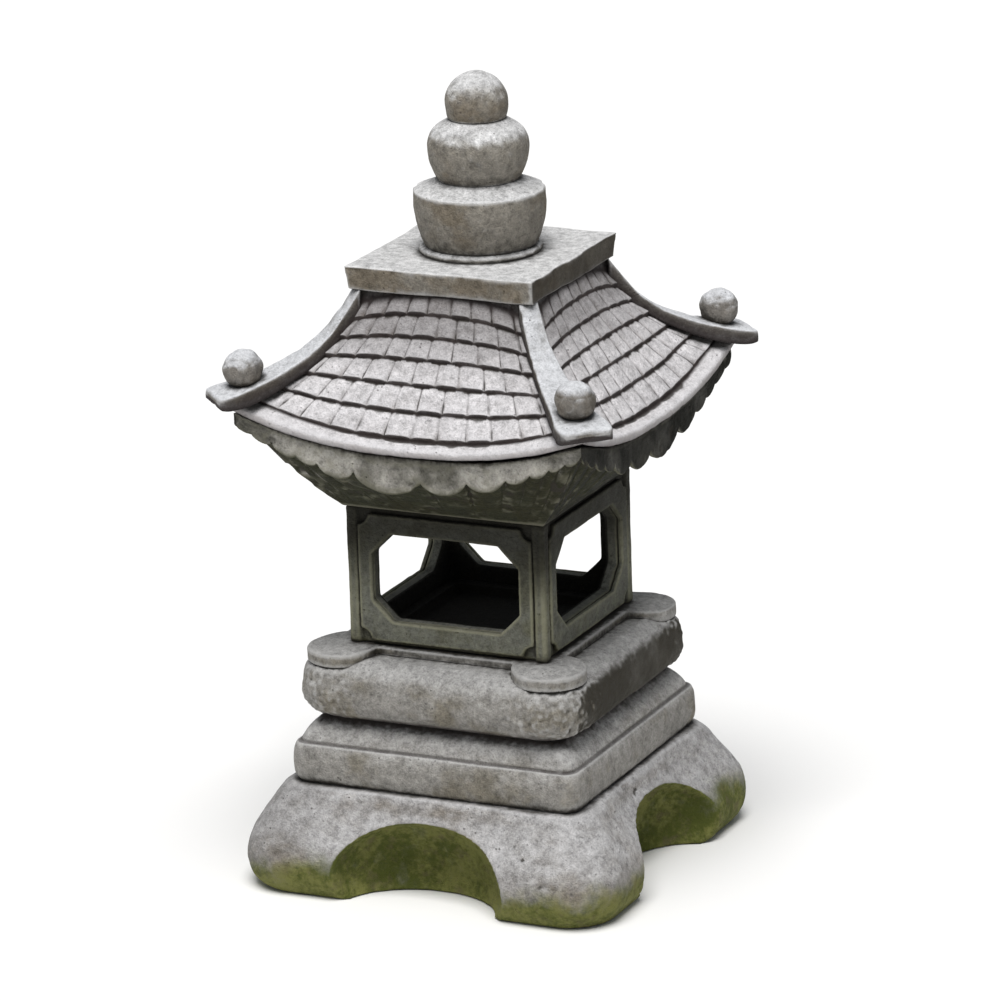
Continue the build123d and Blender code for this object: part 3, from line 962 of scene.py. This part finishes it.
def eave_stone():
    piece = ring_mesh("eave_stone_worn", eave_section, EAVE_STATIONS)
    divide = piece.modifiers.new("divide", "SUBSURF")
    divide.subdivision_type = "SIMPLE"
    divide.levels = divide.render_levels = 1
    apply_modifiers(piece)
    points = coordinates(piece)
    outside = ramp(np.maximum(np.abs(points[:, 0]), np.abs(points[:, 1])), 0.0645, 0.068)
    outside *= ramp(points[:, 2], 0.2312, 0.234)
    amount = outside * (wobble(points, 81, 0.9, 0.7, 0.3) + chips(points, 0.012, 85, 0.8))
    push(piece, amount)
    keep_in_box(piece, "eave_stone")
    relief(piece)
    paint_chamber_shade(piece, 53.5)
    finish_piece(piece, "roof", ["eave_stone"], SOFFIT, 1.04)


RIDGE_SIDE = [55.5, 62.0, 69.0, 78.0, 88.0, 97.0, 106.0, 113.0, 118.5, 121.0]
RIDGE_WIDTH = [12.0, 12.5, 14.5, 17.0, 20.0, 23.0, 27.5, 32.0, 33.0, 30.0]
RIDGE_TOP = [364.5, 352.5, 340.5, 330.5, 323.5, 318.5, 315.0, 312.8, 311.6, 310.4]
RIDGE_BED = [345.0, 339.0, 330.0, 321.0, 314.0, 308.0, 304.0, 302.5, 302.5, 303.5]
RIDGE_ROUND = 1.7
RIDGE_STATIONS = 100
BALL_PLACE = 107.0
BALL_RADIUS = 11.6
BALL_CENTRE = 323.3
BALL_SEAT = 313.5


def blended(values, sides):
    """Smooth curve through the ridge's stations."""
    line = np.interp(sides, RIDGE_SIDE, values)
    kernel = np.hanning(15)
    kernel /= kernel.sum()
    padded = np.concatenate([2 * line[0] - line[7:0:-1], line, 2 * line[-1] - line[-2:-9:-1]])
    return np.convolve(padded, kernel, "valid")


def ridge_outline(half, top, bed):
    """Cross-section of a ridge: a strap with upright sides, rounded arrises and a slightly crowned back."""
    radius = min(RIDGE_ROUND, half * 0.4)
    right = [(half, bed + (top - radius - bed) * share) for share in np.linspace(0.0, 1.0, 6)[:-1]]
    right += [(half - radius + radius * math.cos(turn), top - 0.5 - radius + radius * math.sin(turn))
              for turn in np.linspace(0.0, math.pi / 2, 5)]
    back = [(across * (half - radius), top - 0.5 * across ** 2) for across in np.linspace(1.0, -1.0, 21)[1:-1]]
    left = [(-across, level) for across, level in reversed(right)]
    under = [(across * half, bed) for across in np.linspace(-1.0, 1.0, 10)[1:-1]]
    return np.array(right + back + left + under)


def ridge_mesh(name, turn):
    sides = np.linspace(RIDGE_SIDE[0], RIDGE_SIDE[-1], RIDGE_STATIONS)
    halves, tops, beds = blended(RIDGE_WIDTH, sides) / 2, blended(RIDGE_TOP, sides), blended(RIDGE_BED, sides)
    loops = []
    for side, half, top, bed in zip(sides, halves, tops, beds):
        to_end = np.clip((RIDGE_SIDE[-1] - side) * math.sqrt(2) / RIDGE_ROUND, 0.0, 1.0)
        shrink = RIDGE_ROUND * (1.0 - math.sqrt(1.0 - (1.0 - to_end) ** 2))
        outline = ridge_outline(half - shrink, top - shrink, bed + 0.5 * shrink)
        loops.append(np.column_stack([np.full(len(outline), side * math.sqrt(2)), outline]))
    middle = loops[-1].mean(axis=0)
    loops += [middle + (loops[-1] - middle) * share for share in (0.7, 0.4, 0.15)]
    centre = loops[0].mean(axis=0)
    loops = [centre + (loops[0] - centre) * share for share in (0.15, 0.5)] + loops
    grid = np.array(loops)
    rows, columns = grid.shape[:2]
    index = np.arange(rows * columns).reshape(rows, columns)
    ahead, beside = index[1:], np.roll(index, -1, axis=1)
    quads = np.stack([index[:-1], beside[:-1], beside[1:], ahead], axis=2).reshape(-1, 4)
    ends = [np.full(columns, rows * columns), np.full(columns, rows * columns + 1)]
    caps = np.concatenate([np.stack([beside[0], index[0], ends[0]], axis=1), np.stack([index[-1], beside[-1], ends[1]], axis=1)])
    points = np.concatenate([grid.reshape(-1, 3), [centre], [middle]])
    apart = np.hypot(points[:, 0] - BALL_PLACE * math.sqrt(2), points[:, 1])
    cup = BALL_CENTRE - np.sqrt(np.clip(BALL_RADIUS ** 2 - apart ** 2, 0.0, None)) - 0.15
    cup = np.where(apart < BALL_RADIUS * 0.8, np.maximum(cup, BALL_SEAT - 0.15), 999.0)
    points[:, 2] = np.minimum(points[:, 2], cup)
    x = points[:, 0] * math.cos(turn) - points[:, 1] * math.sin(turn)
    y = points[:, 0] * math.sin(turn) + points[:, 1] * math.cos(turn)
    piece = new_object(name, np.stack([x, y, points[:, 2]], axis=1) * MM, quads, caps)
    # The ridge's sides are darkened toward the tiles: a dark seam and painted shade.
    flank_seam_and_shade = np.interp(np.arange(columns), [0, 4, 7, 31, 34, 38, columns - 1], [1.0, 0.55, 0.0, 0.0, 0.55, 1.0, 1.0])
    store(piece, "seam_and_shade", np.concatenate([np.tile(flank_seam_and_shade, rows), [0.0, 0.0]]))
    return piece


CORNERS = (("front_left", -3), ("front_right", -1), ("back_right", 1), ("back_left", 3))


def hip_ridges():
    for order, (corner, eighths) in enumerate(CORNERS):
        node = "hip_ridge_" + corner
        turn = math.radians(45.0 * eighths)
        piece = ridge_mesh(node + "_worn", turn)
        points = coordinates(piece)
        seat = Vector((BALL_PLACE * math.sqrt(2) * math.cos(turn), BALL_PLACE * math.sqrt(2) * math.sin(turn))) * MM
        clear = ramp(np.hypot(points[:, 0] - seat.x, points[:, 1] - seat.y), 0.0090, 0.0125)
        amount = wobble(points, 101 + 7 * order, 0.8, 0.5, 0.2) + chips(points, 0.012, 105 + order, 0.5)
        push(piece, clear * (amount - 0.15) * ramp(points[:, 2], 0.3630, 0.3560))
        set_coordinates(piece, np.clip(coordinates(piece), np.array(cad_bounds[0]), np.array(cad_bounds[1])))
        relief(piece)
        finish_piece(piece, "roof", [node], RIDGE)


def ridge_balls():
    for order, (corner, _) in enumerate(CORNERS):
        node = "ridge_ball_" + corner
        piece = stone_from_cad(node, 0.6, 2)
        points = coordinates(piece)
        lumps = (0.5 - cells(points, 0.008, 139 + order)) * 1.6 + wobble(points, 131 + 7 * order, 0.9, 0.8, 0.35)
        push(piece, joint_mask(points, node, 2.0) * lumps)
        keep_in_box(piece, node)
        relief(piece)
        finish_piece(piece, "roof", [node], RIDGE)


# ---------------------------------------------------------------- cap and finial

SLAB_DRIP = 1.8


def cap_slab():
    piece = stone_from_cad("cap_slab", 1.1, 2)
    points = coordinates(piece)
    amount = wobble(points, 151, 0.5, 0.4, 0.16) + chips(points, 0.012, 155, 0.4)
    push(piece, joint_mask(points, "cap_slab", 1.2) * (amount - 0.3))
    points = coordinates(piece)
    for axis in (0, 1):
        out = np.abs(points[:, axis])
        inset = 0.9 + 1.0 * noise(points, 0.021, 153 + axis) + 0.35 * noise(points, 0.008, 156 + axis)
        points[:, axis] -= np.sign(points[:, axis]) * np.clip(inset, 0.0, None) * MM * ramp(out, 0.0540, 0.0605)
    edge = ramp(np.maximum(np.abs(points[:, 0]), np.abs(points[:, 1])), 0.0572, 0.0600)
    points[:, 2] -= SLAB_DRIP * MM * edge * ramp(points[:, 2], 0.3700, 0.3655)
    set_coordinates(piece, points)
    relief(piece)
    finish_piece(piece, "roof", ["cap_slab"], CAP, 0.92)


DRUM_MIDDLE = (27.0, 407.0)
DRUM_RIM = (39.0, 415.4)
DRUM_SHOULDER = (39.3, 406.0)
DRUM_CROWN = (25.4, 421.3)


def sharpen_rim(points):
    """Brings the drum's rounded shoulder out to a crisp rim round its sloping top."""
    flat = np.hypot(points[:, 0], points[:, 1]) / MM
    rise = points[:, 2] / MM
    turn = np.arctan2(rise - DRUM_MIDDLE[1], flat - DRUM_MIDDLE[0])
    path = np.array([DRUM_SHOULDER, DRUM_RIM, DRUM_CROWN])
    share = np.linspace(0.0, 1.0, 60)[:, None]
    path = np.concatenate([path[0] + (path[1] - path[0]) * share, path[1] + (path[2] - path[1]) * share])
    angles = np.arctan2(path[:, 1] - DRUM_MIDDLE[1], path[:, 0] - DRUM_MIDDLE[0])
    wanted = np.interp(turn, angles, np.hypot(path[:, 0] - DRUM_MIDDLE[0], path[:, 1] - DRUM_MIDDLE[1]))
    chosen = (rise > DRUM_SHOULDER[1]) & (flat > DRUM_CROWN[0]) & (turn > angles[0]) & (turn < angles[-1])
    new_flat = np.where(chosen, DRUM_MIDDLE[0] + wanted * np.cos(turn), flat)
    points[:, 2] = np.where(chosen, DRUM_MIDDLE[1] + wanted * np.sin(turn), rise) * MM
    points[:, :2] *= (new_flat / np.maximum(flat, 1e-6))[:, None]
    return points


def finial_stones():
    for order, (node, voxel) in enumerate((("cap_ring", 0.9), ("finial_drum", 1.0), ("finial_bulb", 0.9), ("finial_ball", 0.8))):
        piece = stone_from_cad(node, voxel, 1)
        points = coordinates(piece)
        if node == "finial_drum":
            points = sharpen_rim(points)
            set_coordinates(piece, points)
        if node == "cap_ring":
            points[:, 2] -= 0.0012 * ramp(np.hypot(points[:, 0], points[:, 1]), 0.0335, 0.0365) * ramp(points[:, 2], 0.3790, 0.3812)
            set_coordinates(piece, points)
        amount = wobble(points, 171 + 7 * order, 1.0, 0.55, 0.22) + chips(points, 0.013, 175 + order, 0.5)
        push(piece, joint_mask(points, node, 1.5) * amount)
        keep_in_box(piece, node)
        relief(piece)
        finish_piece(piece, "finial", [node], CAP)


def dress_cad():
    """Hidden CAD stones also carry a finished material."""
    slots = {"foot_stone": FOOT, "course_stone": COURSE, "chamber_stone": CHAMBER, "soffit_stone": SOFFIT,
             "tile_stone": TILE, "ridge_stone": RIDGE, "cap_stone": CAP, "steel_pin": STEEL}
    for entry in frame["record"]["subparts"]:
        mesh = NODES[entry["node"]].data
        material = slots[entry["material_slot"]]
        mesh.materials.clear()
        mesh.materials.append(material)


def floor():
    data = bpy.data.meshes.new("floor")
    half = 6.0
    data.from_pydata([(-half, -half, 0.0), (half, -half, 0.0), (half, half, 0.0), (-half, half, 0.0)], [], [(0, 1, 2, 3)])
    plane = bpy.data.objects.new("floor", data)
    plane.location.z = LOW.z - 0.0003
    bpy.context.scene.collection.objects.link(plane)
    net = Net("floor")
    coordinate = net.add("ShaderNodeTexCoord").outputs["Object"]
    tone = net.mix(net.noise(coordinate, 3.0, 2.0), (0.83, 0.83, 0.83), (0.86, 0.86, 0.86))
    net.link(tone, net.shader.inputs["Base Color"])
    net.shader.inputs["Roughness"].default_value = 0.9
    data.materials.append(net.material)


dress_cad()
base_stone()
plinth_stone()
platform_stone()
seat_plate()
fire_box()
window_surrounds()
roof_stone()
eave_stone()
hip_ridges()
ridge_balls()
cap_slab()
finial_stones()
openness_for_painted_shade()
floor()
